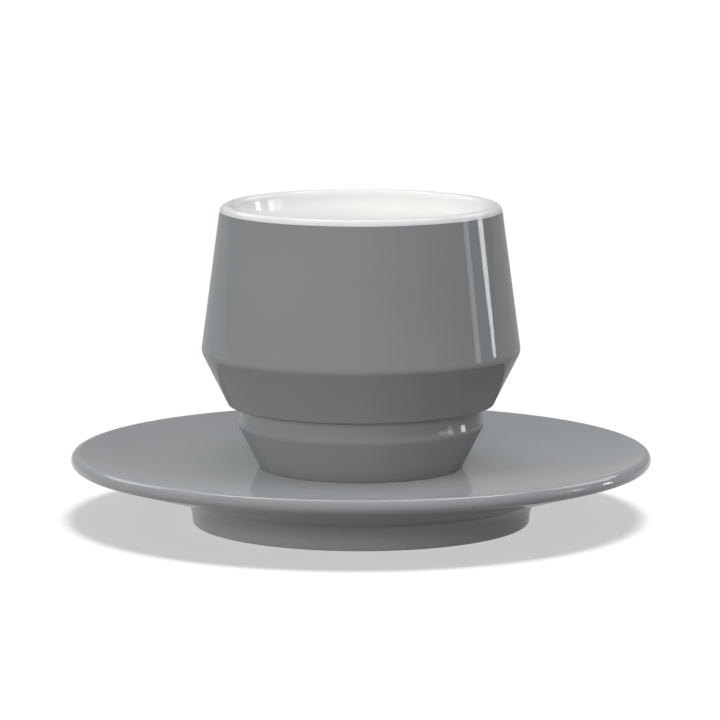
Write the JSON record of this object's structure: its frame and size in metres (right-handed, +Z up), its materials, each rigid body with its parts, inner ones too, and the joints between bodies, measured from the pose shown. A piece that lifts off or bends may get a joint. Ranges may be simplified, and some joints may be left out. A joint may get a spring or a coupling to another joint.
{
  "type": "cappuccino cup with saucer",
  "caption": "Stackable cappuccino cup with a belted body and a grooved foot, lifting off a round saucer with a flat seat, a swept dish and a foot ring.",
  "frame": {"origin": "centre of the saucer's foot ring, on the surface that it stands on", "axes": "+Z up along the axis of the cup and the saucer, the way the cup lifts; X and Y are level and interchangeable"},
  "size_m": [0.15, 0.15, 0.0826],
  "materials": {
    "cup_glaze": "gloss grey glaze outside, gloss white glaze inside and over the lip",
    "saucer_glaze": "gloss grey glaze"
  },
  "bodies": {
    "saucer": {"saucer": "saucer_glaze"},
    "cup": {"cup": "cup_glaze"}
  },
  "joints": [
    {"name": "cup_lift", "type": "slide", "parent": "saucer", "child": "cup", "axis": [0, 0, 1], "range_m": [0, 0.12]}
  ]
}
